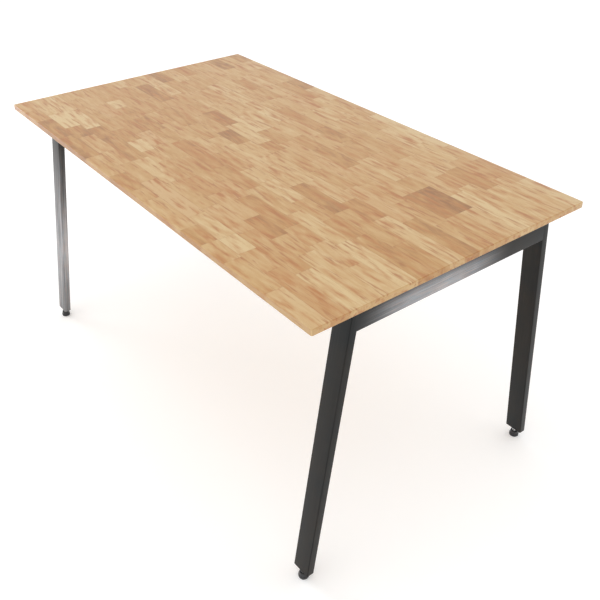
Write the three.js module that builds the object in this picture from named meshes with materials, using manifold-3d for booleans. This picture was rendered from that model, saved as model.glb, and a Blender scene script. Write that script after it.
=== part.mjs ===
// A butcher-block table: a finger-jointed wooden top glued up from staves, on two splayed
// steel end frames tied together by two long rails, on four screw-in levelling feet.
// Millimetres, +Z up, +X along the table. The origin is on the floor under the middle of the top.

import * as THREE from 'three';
import { mergeVertices } from 'three/addons/utils/BufferGeometryUtils.js';
import Module from 'manifold-3d';

const wasm = await Module();
wasm.setup();

// ---------- driving dimensions ----------
const TABLE_LENGTH = 1400;
const TABLE_WIDTH = 800;
const TABLE_HEIGHT = 750;

// the top
const TOP_THICKNESS = 15;
const TOP_CORNER_RADIUS = 4;
const TOP_ARRIS = 1.5;
const STAVE_COUNT = 18;
const STAVE_WIDTH = 44.5;
const OUTER_STAVE_WIDTH = 44;

// flat steel tube, used everywhere in the frame
const TUBE_DEEP = 50;
const TUBE_THIN = 20;
const TUBE_WALL = 2;
const TUBE_RADIUS = 2.5;
const CORNER_STEPS = 3;

// end frames
const END_INSET = 10;
const LEG_SPREAD_TOP = 293;
const LEG_SPLAY = THREE.MathUtils.degToRad(8);
const LEG_BOTTOM_Z = 28;
const WELD_GAP = 0.3;
const SEAT_GAP = 0.03;

// long rails, their end plates and the two middle tabs
const LONG_RAIL_Y = 230;
const PLATE_THICKNESS = 5;
const PLATE_WIDTH = 70;
const BOLT_SPACING = 50;
const BOLT_HOLE_RADIUS = 4.6;
const BOLT_HOLE_REACH = 9;
const LIP_THICKNESS = 4;
const LIP_LENGTH = 35;
const LIP_INNER_Y = 195;
const TAB_LENGTH = 60;
const SCREW_Y = 205;
const SCREW_FROM_PLATE = 20;
const SCREW_HOLE_RADIUS = 2.9;

// wood screws up into the top
const SCREW_LENGTH = 15;
const SCREW_RADIUS = 2.2;
const SCREW_POINT = 3;
const SCREW_HEAD_RADIUS = 5;
const SCREW_HEAD_HEIGHT = 2.8;
const PILOT_RADIUS = 2.6;
const PILOT_DEPTH = 11.5;

// hexagon bolts, M8
const BOLT_RADIUS = 4;
const BOLT_HEX = 13;
const BOLT_HEAD_HEIGHT = 5.5;
const BOLT_FLANGE_RADIUS = 8.5;
const BOLT_FLANGE_HEIGHT = 1.5;
const BOLT_REACH = 18;

// levelling feet
const END_BLOCK_HEIGHT = 12;
const END_BLOCK_GAP = 0.3;
const STUD_BORE_RADIUS = 4.5;
const STUD_RADIUS = 4;
const STUD_ABOVE_LEG_END = 22;
const PAD_RADIUS = 13;
const PAD_HEIGHT = 17;
const PAD_TOP_RADIUS = 10.5;
const PAD_SKIRT = 9;
const PAD_EDGE = 1.5;
const SOCKET_RADIUS = 4.8;
const SOCKET_FLOOR = 7;
const PIN_RADIUS = 4.2;
const RUNNING_GAP = 0.3;
const COLLAR_HEX = 13;
const COLLAR_FACE_RADIUS = 8.5;
const COLLAR_FACE_HEIGHT = 1.7;

// worked out from the above
const UNDERSIDE_Z = TABLE_HEIGHT - TOP_THICKNESS;
const RAIL_BOTTOM_Z = UNDERSIDE_Z - TUBE_DEEP;
const RAIL_MIDDLE_Z = UNDERSIDE_Z - TUBE_DEEP / 2;
const FRAME_OUTER_X = TABLE_LENGTH / 2 - END_INSET;
const RAIL_INNER_X = FRAME_OUTER_X - TUBE_THIN;
const PLATE_INNER_X = RAIL_INNER_X - PLATE_THICKNESS;
const TUBE_THIN_LEVEL = TUBE_THIN / Math.cos(LEG_SPLAY);
const LEG_LEAN = Math.tan(LEG_SPLAY);
const LEG_CENTRE_TOP_Y = LEG_SPREAD_TOP - TUBE_THIN_LEVEL / 2;
const LEG_CENTRE_BOTTOM_Y = LEG_CENTRE_TOP_Y + (UNDERSIDE_Z - LEG_BOTTOM_Z) * LEG_LEAN;
const LEG_CENTRE_X = FRAME_OUTER_X - TUBE_DEEP / 2;
const SCREW_END_X = PLATE_INNER_X - SCREW_FROM_PLATE;

// ---------- materials ----------
const wood = () => new THREE.MeshStandardMaterial({ color: 0xcba77e, roughness: 0.5, metalness: 0 });
const darkSteel = () => new THREE.MeshStandardMaterial({ color: 0x46474a, roughness: 0.4, metalness: 0.8 });
const zinc = () => new THREE.MeshStandardMaterial({ color: 0xa7a9ab, roughness: 0.35, metalness: 0.9 });
const blackPlastic = () => new THREE.MeshStandardMaterial({ color: 0x232326, roughness: 0.55, metalness: 0 });

// ---------- solids ----------
function toSolid(geometry) {
  const bare = geometry.clone();
  bare.deleteAttribute('normal');
  bare.deleteAttribute('uv');
  const merged = mergeVertices(bare, 1e-5);
  return new wasm.Manifold(new wasm.Mesh({
    numProp: 3,
    vertProperties: new Float32Array(merged.attributes.position.array),
    triVerts: new Uint32Array(merged.index.array),
  }));
}

function toGeometry(solid) {
  const mesh = solid.getMesh();
  const geometry = new THREE.BufferGeometry();
  geometry.setAttribute('position', new THREE.BufferAttribute(mesh.vertProperties, 3));
  geometry.setIndex(new THREE.BufferAttribute(mesh.triVerts, 1));
  geometry.computeVertexNormals();
  return geometry;
}

function box(x0, x1, y0, y1, z0, z1) {
  const geometry = new THREE.BoxGeometry(x1 - x0, y1 - y0, z1 - z0);
  return geometry.translate((x0 + x1) / 2, (y0 + y1) / 2, (z0 + z1) / 2);
}

function uprightCylinder(radius, z0, z1, sides) {
  const geometry = new THREE.CylinderGeometry(radius, radius, z1 - z0, sides);
  return geometry.rotateX(Math.PI / 2).translate(0, 0, (z0 + z1) / 2);
}

// a profile of [radius, height] points, starting and ending on the axis, turned about Z
function turned(profile, sides) {
  const points = profile.map(([r, z]) => new THREE.Vector2(r, z));
  return new THREE.LatheGeometry(points, sides).rotateX(Math.PI / 2);
}

function hexagon(acrossFlats, z0, z1) {
  const radius = acrossFlats / 2 / Math.cos(Math.PI / 6);
  return uprightCylinder(radius, z0, z1, 6);
}

function roundedOutline(width, height, radius) {
  const [w, h] = [width / 2 - radius, height / 2 - radius];
  const points = [];
  [[w, -h], [w, h], [-w, h], [-w, -h]].forEach(([x, y], quarter) => {
    for (let step = 0; step <= CORNER_STEPS; step += 1) {
      const angle = (quarter - 1 + step / CORNER_STEPS) * Math.PI / 2;
      points.push(new THREE.Vector2(x + radius * Math.cos(angle), y + radius * Math.sin(angle)));
    }
  });
  return new THREE.Shape(points);
}

function rectangleHole(width, height) {
  const [w, h] = [width / 2, height / 2];
  const corners = [[-w, -h], [-w, h], [w, h], [w, -h]];
  return new THREE.Path(corners.map(([x, y]) => new THREE.Vector2(x, y)));
}

// square-ended flat tube along Z, centred on the axis: wide in X, narrow in Y
function flatTube(wide, narrow, length) {
  const section = roundedOutline(wide, narrow, TUBE_RADIUS);
  section.holes.push(rectangleHole(wide - 2 * TUBE_WALL, narrow - 2 * TUBE_WALL));
  const settings = { depth: length, bevelEnabled: false };
  return new THREE.ExtrudeGeometry(section, settings).translate(0, 0, -length / 2);
}

// ---------- the scene graph ----------
const table = new THREE.Group();

function add(name, geometry, material) {
  const mesh = new THREE.Mesh(geometry, material);
  mesh.name = name;
  table.add(mesh);
  return mesh;
}

const ENDS = [['right', 1], ['left', -1]];
const SIDES = [['front', -1], ['back', 1]];

// ---------- the wooden top ----------
function topPanel() {
  const outline = roundedOutline(TABLE_LENGTH - 2 * TOP_ARRIS, TABLE_WIDTH - 2 * TOP_ARRIS,
    TOP_CORNER_RADIUS - TOP_ARRIS);
  const geometry = new THREE.ExtrudeGeometry(outline, {
    depth: TOP_THICKNESS - 2 * TOP_ARRIS,
    bevelThickness: TOP_ARRIS,
    bevelSize: TOP_ARRIS,
    bevelSegments: 2,
  });
  return toSolid(geometry.translate(0, 0, UNDERSIDE_Z + TOP_ARRIS));
}

function staveEdges(index) {
  const first = -TABLE_WIDTH / 2;
  const low = index === 0 ? first : first + OUTER_STAVE_WIDTH + (index - 1) * STAVE_WIDTH;
  const wide = index === 0 || index === STAVE_COUNT - 1 ? OUTER_STAVE_WIDTH : STAVE_WIDTH;
  return [low, low + wide];
}

function screwPlaces() {
  const places = [];
  for (const [side, sideSign] of SIDES) {
    for (const [end, endSign] of ENDS) {
      places.push({ name: `${end}_${side}`, x: endSign * SCREW_END_X, y: sideSign * SCREW_Y });
    }
    places.push({ name: `middle_${side}`, x: 0, y: sideSign * SCREW_Y });
  }
  return places;
}

function pilotHole({ x, y }) {
  const hole = uprightCylinder(PILOT_RADIUS, UNDERSIDE_Z - 1, UNDERSIDE_Z + PILOT_DEPTH, 12);
  return toSolid(hole.translate(x, y, 0));
}

function addStaves() {
  const panel = topPanel();
  const reach = TABLE_LENGTH / 2 + 1;
  for (let index = 0; index < STAVE_COUNT; index += 1) {
    const [y0, y1] = staveEdges(index);
    const slice = toSolid(box(-reach, reach, y0, y1, UNDERSIDE_Z - 1, TABLE_HEIGHT + 1));
    let stave = panel.intersect(slice);
    for (const place of screwPlaces()) {
      if (place.y > y0 && place.y < y1) stave = stave.subtract(pilotHole(place));
    }
    add(`stave_${String(index + 1).padStart(2, '0')}`, toGeometry(stave), wood());
  }
}

// ---------- the end frames ----------
function levelCut(solid, z0, z1) {
  const reach = TABLE_LENGTH;
  return solid.intersect(toSolid(box(-reach, reach, -reach, reach, z0, z1)));
}

// a bar or tube leant onto the leg's axis and sawn off level at both ends
function onLegAxis(geometry, endSign, sideSign, z0, z1) {
  const middleZ = (UNDERSIDE_Z + LEG_BOTTOM_Z) / 2;
  const middleY = (LEG_CENTRE_TOP_Y + LEG_CENTRE_BOTTOM_Y) / 2;
  geometry.rotateX(sideSign * LEG_SPLAY);
  geometry.translate(endSign * LEG_CENTRE_X, sideSign * middleY, middleZ);
  return levelCut(toSolid(geometry), z0, z1);
}

function addLeg(end, endSign, side, sideSign) {
  const length = (UNDERSIDE_Z - LEG_BOTTOM_Z) / Math.cos(LEG_SPLAY) + TUBE_DEEP;
  const tube = flatTube(TUBE_DEEP, TUBE_THIN, length);
  const leg = onLegAxis(tube, endSign, sideSign, LEG_BOTTOM_Z, UNDERSIDE_Z);
  add(`${end}_${side}_leg`, toGeometry(leg), darkSteel());
}

// half the rail's length at a height, up to the slope of the leg's inner face
function railReach(z, trim) {
  const atTop = LEG_SPREAD_TOP - TUBE_THIN_LEVEL;
  return atTop + (UNDERSIDE_Z - z) * LEG_LEAN - trim;
}

function boltHole(x, y) {
  const hole = uprightCylinder(BOLT_HOLE_RADIUS, -BOLT_HOLE_REACH, BOLT_HOLE_REACH, 16);
  return toSolid(hole.rotateY(Math.PI / 2).translate(x, y, RAIL_MIDDLE_Z));
}

function boltPlaces() {
  const places = [];
  for (const [side, sideSign] of SIDES) {
    for (const [spot, step] of [['inner', -1], ['outer', 1]]) {
      places.push({ name: `${side}_${spot}`, y: sideSign * (LONG_RAIL_Y + step * BOLT_SPACING / 2) });
    }
  }
  return places;
}

function addEndRail(end, endSign) {
  const length = 2 * railReach(RAIL_BOTTOM_Z, 0);
  const tube = flatTube(TUBE_THIN, TUBE_DEEP, length).rotateX(Math.PI / 2);
  const centreX = endSign * (FRAME_OUTER_X - TUBE_THIN / 2);
  const topReach = railReach(UNDERSIDE_Z, WELD_GAP);
  const bottomReach = railReach(RAIL_BOTTOM_Z, WELD_GAP);
  const side = new THREE.Shape([
    new THREE.Vector2(-bottomReach, RAIL_BOTTOM_Z), new THREE.Vector2(bottomReach, RAIL_BOTTOM_Z),
    new THREE.Vector2(topReach, UNDERSIDE_Z), new THREE.Vector2(-topReach, UNDERSIDE_Z)]);
  const slab = new THREE.ExtrudeGeometry(side, { depth: TUBE_DEEP, bevelEnabled: false });
  slab.rotateX(Math.PI / 2).rotateZ(Math.PI / 2).translate(centreX - TUBE_DEEP / 2, 0, 0);
  let rail = toSolid(tube.translate(centreX, 0, RAIL_MIDDLE_Z)).intersect(toSolid(slab));
  for (const place of boltPlaces()) rail = rail.subtract(boltHole(endSign * RAIL_INNER_X, place.y));
  add(`${end}_end_rail`, toGeometry(rail), darkSteel());
}

function addEndFrames() {
  for (const [end, endSign] of ENDS) {
    addEndRail(end, endSign);
    for (const [side, sideSign] of SIDES) addLeg(end, endSign, side, sideSign);
  }
}

// ---------- the long rails ----------
function addLongRail(side, sideSign) {
  const tube = flatTube(TUBE_DEEP, TUBE_THIN, 2 * PLATE_INNER_X).rotateY(Math.PI / 2);
  add(`${side}_long_rail`, tube.translate(0, sideSign * LONG_RAIL_Y, RAIL_MIDDLE_Z), darkSteel());
}

function screwHole(x, y) {
  const hole = uprightCylinder(SCREW_HOLE_RADIUS, UNDERSIDE_Z - 2 * LIP_THICKNESS, UNDERSIDE_Z + 1, 16);
  return toSolid(hole.translate(x, y, 0));
}

function ordered(sign, low, high) {
  return sign > 0 ? [low, high] : [-high, -low];
}

function addEndPlate(end, endSign, side, sideSign) {
  const [x0, x1] = ordered(endSign, PLATE_INNER_X, RAIL_INNER_X);
  const [y0, y1] = ordered(sideSign, LONG_RAIL_Y - PLATE_WIDTH / 2, LONG_RAIL_Y + PLATE_WIDTH / 2);
  const [lipX0, lipX1] = ordered(endSign, PLATE_INNER_X - LIP_LENGTH, PLATE_INNER_X + 1);
  const [lipY0, lipY1] = ordered(sideSign, LIP_INNER_Y, LONG_RAIL_Y - TUBE_THIN / 2 - WELD_GAP);
  let plate = toSolid(box(x0, x1, y0, y1, RAIL_BOTTOM_Z, UNDERSIDE_Z));
  plate = plate.add(toSolid(box(lipX0, lipX1, lipY0, lipY1, UNDERSIDE_Z - LIP_THICKNESS, UNDERSIDE_Z)));
  for (const place of boltPlaces()) plate = plate.subtract(boltHole(endSign * RAIL_INNER_X, place.y));
  plate = plate.subtract(screwHole(endSign * SCREW_END_X, sideSign * SCREW_Y));
  add(`${end}_${side}_end_plate`, toGeometry(plate), darkSteel());
}

function addMiddleTab(side, sideSign) {
  const [y0, y1] = ordered(sideSign, LIP_INNER_Y, LONG_RAIL_Y - TUBE_THIN / 2);
  const half = TAB_LENGTH / 2;
  const blank = toSolid(box(-half, half, y0, y1, UNDERSIDE_Z - LIP_THICKNESS, UNDERSIDE_Z));
  add(`${side}_middle_tab`, toGeometry(blank.subtract(screwHole(0, sideSign * SCREW_Y))), darkSteel());
}

function addLongRails() {
  for (const [side, sideSign] of SIDES) {
    addLongRail(side, sideSign);
    addMiddleTab(side, sideSign);
    for (const [end, endSign] of ENDS) addEndPlate(end, endSign, side, sideSign);
  }
}

// ---------- fasteners ----------
// a flanged hexagon bolt along Z: the underside of its flange at 0, the shank above it
function boltShape() {
  const shank = turned([[0, -1], [BOLT_RADIUS, -1], [BOLT_RADIUS, BOLT_REACH - 1],
    [BOLT_RADIUS - 1, BOLT_REACH], [0, BOLT_REACH]], 16);
  const flange = turned([[0, -BOLT_FLANGE_HEIGHT], [BOLT_FLANGE_RADIUS - 0.5, -BOLT_FLANGE_HEIGHT],
    [BOLT_FLANGE_RADIUS, -BOLT_FLANGE_HEIGHT / 2], [BOLT_FLANGE_RADIUS, 0], [0, 0]], 24);
  const head = hexagon(BOLT_HEX, -BOLT_HEAD_HEIGHT - BOLT_FLANGE_HEIGHT, -BOLT_FLANGE_HEIGHT / 2);
  return toSolid(shank).add(toSolid(flange)).add(toSolid(head));
}

function addBolts() {
  const shape = boltShape();
  for (const [end, endSign] of ENDS) {
    for (const place of boltPlaces()) {
      const bolt = add(`${end}_${place.name}_bolt`, toGeometry(shape), zinc());
      bolt.rotation.y = endSign * Math.PI / 2;
      bolt.position.set(endSign * (PLATE_INNER_X - SEAT_GAP), place.y, RAIL_MIDDLE_Z);
    }
  }
}

// a pan-head wood screw, point up: the underside of its head's rim at 0
function screwProfile() {
  return [[0, -SCREW_HEAD_HEIGHT], [SCREW_HEAD_RADIUS * 0.6, -SCREW_HEAD_HEIGHT],
    [SCREW_HEAD_RADIUS, -SCREW_HEAD_HEIGHT * 0.4], [SCREW_HEAD_RADIUS, 0], [SCREW_RADIUS, 0],
    [SCREW_RADIUS, SCREW_LENGTH - SCREW_POINT], [0, SCREW_LENGTH]];
}

function addScrews() {
  for (const place of screwPlaces()) {
    const screw = add(`${place.name}_screw`, turned(screwProfile(), 16), zinc());
    screw.position.set(place.x, place.y, UNDERSIDE_Z - LIP_THICKNESS - SEAT_GAP);
  }
}

// ---------- levelling feet ----------
function addEndBlock(name, endSign, sideSign) {
  const inset = 2 * (TUBE_WALL + END_BLOCK_GAP);
  const length = (UNDERSIDE_Z - LEG_BOTTOM_Z) / Math.cos(LEG_SPLAY) + TUBE_DEEP;
  const bar = new THREE.BoxGeometry(TUBE_DEEP - inset, TUBE_THIN - inset, length);
  const block = onLegAxis(bar, endSign, sideSign, LEG_BOTTOM_Z, LEG_BOTTOM_Z + END_BLOCK_HEIGHT);
  const bore = uprightCylinder(STUD_BORE_RADIUS, 0, LEG_BOTTOM_Z + 2 * END_BLOCK_HEIGHT, 24);
  bore.translate(endSign * LEG_CENTRE_X, sideSign * LEG_CENTRE_BOTTOM_Y, 0);
  add(`${name}_leg_end_block`, toGeometry(block.subtract(toSolid(bore))), darkSteel());
}

// the plastic pad, with a socket in its top for the stud's pin
function padProfile() {
  return [[0, 0], [PAD_RADIUS - PAD_EDGE, 0], [PAD_RADIUS, PAD_EDGE], [PAD_RADIUS, PAD_SKIRT - PAD_EDGE],
    [PAD_RADIUS - PAD_EDGE / 2, PAD_SKIRT], [PAD_TOP_RADIUS, PAD_HEIGHT - PAD_EDGE],
    [PAD_TOP_RADIUS - PAD_EDGE, PAD_HEIGHT], [SOCKET_RADIUS, PAD_HEIGHT],
    [SOCKET_RADIUS, SOCKET_FLOOR], [0, SOCKET_FLOOR]];
}

// pin, hexagon collar with a round washer face, and threaded rod in one piece
function studShape() {
  const collarBottom = PAD_HEIGHT + RUNNING_GAP;
  const faceTop = LEG_BOTTOM_Z - RUNNING_GAP;
  const rodTop = LEG_BOTTOM_Z + STUD_ABOVE_LEG_END;
  const pinBottom = SOCKET_FLOOR + RUNNING_GAP;
  const pin = turned([[0, pinBottom], [PIN_RADIUS - 1, pinBottom], [PIN_RADIUS, pinBottom + 1],
    [PIN_RADIUS, collarBottom + 1], [0, collarBottom + 1]], 24);
  const collar = hexagon(COLLAR_HEX, collarBottom, faceTop - COLLAR_FACE_HEIGHT / 2);
  const face = uprightCylinder(COLLAR_FACE_RADIUS, faceTop - COLLAR_FACE_HEIGHT, faceTop, 24);
  const rod = turned([[0, faceTop - 1], [STUD_RADIUS, faceTop - 1], [STUD_RADIUS, rodTop - 1],
    [STUD_RADIUS - 1, rodTop], [0, rodTop]], 24);
  return toSolid(pin).add(toSolid(collar)).add(toSolid(face)).add(toSolid(rod));
}

function addFeet() {
  const stud = studShape();
  for (const [end, endSign] of ENDS) {
    for (const [side, sideSign] of SIDES) {
      const name = `${end}_${side}`;
      const [x, y] = [endSign * LEG_CENTRE_X, sideSign * LEG_CENTRE_BOTTOM_Y];
      addEndBlock(name, endSign, sideSign);
      add(`${name}_foot_pad`, turned(padProfile(), 32), blackPlastic()).position.set(x, y, 0);
      add(`${name}_foot_stud`, toGeometry(stud), zinc()).position.set(x, y, 0);
    }
  }
}

addStaves();
addEndFrames();
addLongRails();
addBolts();
addScrews();
addFeet();

export default table;
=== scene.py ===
# %% [markdown]
# A butcher block table: a top glued up from staves of short wooden blocks, on two splayed
# end frames of flat steel tube, with two long rails under the top and four screw-in feet.
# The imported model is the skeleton: it fixes where every piece is and how big it is overall.
# Each cell below dresses one kind of piece, and gives only the small sizes within it, such as
# a corner's radius or a thread's depth.

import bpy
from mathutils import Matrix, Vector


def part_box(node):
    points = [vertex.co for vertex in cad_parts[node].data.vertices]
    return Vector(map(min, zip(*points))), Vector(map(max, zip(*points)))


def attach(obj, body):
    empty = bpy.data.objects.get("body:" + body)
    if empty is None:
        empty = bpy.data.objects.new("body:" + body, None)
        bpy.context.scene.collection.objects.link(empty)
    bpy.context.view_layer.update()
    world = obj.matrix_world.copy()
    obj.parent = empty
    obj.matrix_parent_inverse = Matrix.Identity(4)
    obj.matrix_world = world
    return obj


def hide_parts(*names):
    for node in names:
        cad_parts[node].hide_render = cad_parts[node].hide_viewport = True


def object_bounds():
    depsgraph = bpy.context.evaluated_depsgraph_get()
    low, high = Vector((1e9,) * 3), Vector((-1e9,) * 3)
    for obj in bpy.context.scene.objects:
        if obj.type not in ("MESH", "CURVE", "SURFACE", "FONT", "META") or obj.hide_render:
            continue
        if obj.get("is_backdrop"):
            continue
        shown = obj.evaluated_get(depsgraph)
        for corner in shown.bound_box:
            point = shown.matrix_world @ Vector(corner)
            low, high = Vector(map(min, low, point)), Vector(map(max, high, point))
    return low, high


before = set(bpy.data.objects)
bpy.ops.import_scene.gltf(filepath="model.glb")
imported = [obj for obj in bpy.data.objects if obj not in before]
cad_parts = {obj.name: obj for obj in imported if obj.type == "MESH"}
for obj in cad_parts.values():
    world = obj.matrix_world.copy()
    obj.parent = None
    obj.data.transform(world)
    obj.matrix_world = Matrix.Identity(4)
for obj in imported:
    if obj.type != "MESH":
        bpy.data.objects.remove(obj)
cad_low, cad_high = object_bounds()
print("frame box", [round(v, 4) for v in cad_low], [round(v, 4) for v in cad_high])

# %% [markdown]
# The table could be modelled by hand in the viewport, but a script is easier to measure, to
# change and to run again. Nearly every mesh here is built point by point with `bmesh`, so its
# sizes are exact. Random draws are numbered, so the wood comes out the same on every run.

# %% Tools
import math
import random

import bmesh
import bpy
from mathutils import Matrix, Vector

MM = 0.001
QUARTER = math.pi / 2
ENDS = (("right", 1), ("left", -1))
SIDES = (("front", -1), ("back", 1))
CORNERS = [(end, end_sign, side, side_sign)
           for end, end_sign in ENDS for side, side_sign in SIDES]
SHARP_ANGLE = math.radians(30)


def steps(count):
    """Evenly spaced numbers from 0 to 1, both included."""
    return [index / count for index in range(count + 1)]


print("tools ready")

# %% [markdown]
# A material is a graph of nodes. They could be placed and linked one by one, but its arithmetic
# reads best as arithmetic. A `Wire` holds one socket and turns `a * b + 1` into Math nodes. A
# `Finish` is one material, with a single method that adds any other node: first its settings,
# then what goes into its sockets.

# %% Wires and finishes
def sign_method(operation, flipped=False):
    """The method behind one sign, such as +. Flipped, it puts the other value first."""
    def method(self, other):
        first, second = (other, self) if flipped else (self, other)
        sockets = {0: first, 1: second}
        return self.finish.node("ShaderNodeMath", {"operation": operation}, sockets)
    return method


class Wire:
    """One output socket, used like a number."""

    def __init__(self, finish, socket):
        self.finish, self.socket = finish, socket

    def sibling(self, name):
        """Another output of the same node."""
        return Wire(self.finish, self.socket.node.outputs[name])

    __add__ = __radd__ = sign_method("ADD")
    __sub__, __rsub__ = sign_method("SUBTRACT"), sign_method("SUBTRACT", flipped=True)
    __mul__ = __rmul__ = sign_method("MULTIPLY")
    __pow__ = sign_method("POWER")
    __lt__, __gt__ = sign_method("LESS_THAN"), sign_method("GREATER_THAN")


class Finish:
    """One material, built around a Principled shader."""

    def __init__(self, name, even):
        self.material = bpy.data.materials.new(name)
        self.material.use_nodes = True
        self.tree = self.material.node_tree
        self.shader = self.tree.nodes["Principled BSDF"]
        for socket, value in even.items():
            self.shader.inputs[socket].default_value = value

    def node(self, kind, settings=None, sockets=None, output=0):
        made = self.tree.nodes.new(kind)
        for name, value in (settings or {}).items():
            if name == "stops":
                ramp = made.color_ramp.elements
                while len(ramp) < len(value):
                    ramp.new(0.5)
                for stop, (place, colour) in zip(ramp, value):
                    stop.position, stop.color = place, (*colour, 1)
            else:
                setattr(made, name, value)
        for key, value in (sockets or {}).items():
            self.feed(made.inputs[key], value)
        return Wire(self, made.outputs[output])

    def feed(self, socket, value):
        if isinstance(value, Wire):
            self.tree.links.new(value.socket, socket)
        else:
            socket.default_value = value

    def surface(self, name, value):
        self.feed(self.shader.inputs[name], value)

    def split(self, vector):
        x = self.node("ShaderNodeSeparateXYZ", None, {0: vector}, "X")
        return x, x.sibling("Y"), x.sibling("Z")

    def join(self, x, y, z):
        return self.node("ShaderNodeCombineXYZ", None, {0: x, 1: y, 2: z})

    def stored(self, name):
        """A value that the mesh carries for each block or each point."""
        return self.node("ShaderNodeAttribute", {"attribute_name": name}, None, "Vector")

    def place(self):
        return self.node("ShaderNodeTexCoord", None, None, "Object")

    def noise(self, where, scale=1.0, detail=2.0, roughness=0.5):
        sockets = {"Vector": where, "Scale": scale, "Detail": detail, "Roughness": roughness}
        return self.node("ShaderNodeTexNoise", None, sockets)

    def spread(self, value, low, high):
        """Stretches low..high to 0..1 and clips the rest."""
        return self.node("ShaderNodeMapRange", None, {0: value, 1: low, 2: high, 3: 0.0, 4: 1.0})

    def blend(self, amount, first, second, mode="MIX"):
        settings = {"data_type": "RGBA", "blend_type": mode}
        first = first if isinstance(first, Wire) else (*first, 1)
        second = second if isinstance(second, Wire) else (*second, 1)
        return self.node("ShaderNodeMix", settings, {0: amount, 6: first, 7: second}, 2)

    def relief(self, height, depth, strength=1.0):
        bump = self.node("ShaderNodeBump", None,
                         {"Height": height, "Distance": depth, "Strength": strength})
        self.surface("Normal", bump)


print("wires and finishes ready")

# %% [markdown]
# The wood is pale hardwood under a satin lacquer. Every block was sawn from a different board,
# so each has its own tone, its own warmth and its own place in a tree. One wood pattern laid
# over the whole top would run straight across the joints, so each block gets its own. Growth
# rings are cylinders round the tree's heart, so the distance from a heart line, different for
# each block, draws their stripes on every face at once. Fibres, pores, red stains and brown
# streaks are noise pulled out along the grain. Fine dark lines mark the glue, and the sawn
# ends soak up more lacquer.

# %% The wood
WOOD_DARK = (0.315, 0.136, 0.038)
WOOD_TAN = (0.495, 0.262, 0.083)
WOOD_HONEY = (0.575, 0.358, 0.148)
WOOD_PALE = (0.655, 0.472, 0.234)
WOOD_RED = (0.475, 0.196, 0.050)
# A block's tone runs from 0 (dark) to 1 (pale) through these colours.
TONE_COLOURS = [(0.0, WOOD_DARK), (0.28, WOOD_TAN), (0.58, WOOD_HONEY), (0.95, WOOD_PALE)]
END_GRAIN_TINT = (0.90, 0.82, 0.70)
STREAK_BROWN = (0.39, 0.142, 0.036)
GLUE_TINT = (0.66, 0.55, 0.44)
GLUE_HALF_WIDTH = 0.28 * MM
RINGS_PER_METRE = 230.0
RING_SHIFT, RING_DETAIL = 91.0, 1.5
# How far the slow drift pushes the rings about, in metres.
RING_WANDER = 0.022
# How fast each pattern changes along the grain and across it, in cycles a metre, how far the
# block's seed shifts it, and how much fine detail it has.
DRIFT = (11.0, 34.0, 37.0, 2.0)
FIGURE = (17.0, 62.0, 53.0, 3.0)
STAIN = (13.0, 75.0, 71.0, 3.0)
STREAK = (17.0, 150.0, 83.0, 2.0)
FIBRE = (34.0, 1300.0, 17.0, 3.0)
PORE = (150.0, 2600.0, 29.0, 1.0)
# How far each pattern moves a block's tone.
RING_DEPTH, FIGURE_DEPTH, FIBRE_DEPTH = 0.58, 0.80, 0.26
# Where in its noise a mark starts and where it is full, and how strongly it is laid on.
STAIN_RANGE, STAIN_SHARE = (0.49, 0.69), 0.78
STAIN_CORE_RANGE, STAIN_CORE_SHARE = (0.62, 0.72), 0.55
STREAK_RANGE, STREAK_SHARE = (0.59, 0.70), 0.70
PORE_LEVEL, PORE_SHARE = 0.64, 0.16
WARMTH_SHARE, END_GRAIN_SHARE, GLUE_SHARE = 0.35, 0.85, 0.6
SATIN_ROUGHNESS = 0.40
LACQUER, LACQUER_LOST_IN_PORES = 0.42, 0.15
# A relief is a depth and a strength.
GRAIN_RELIEF = (0.09 * MM, 0.7)


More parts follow.
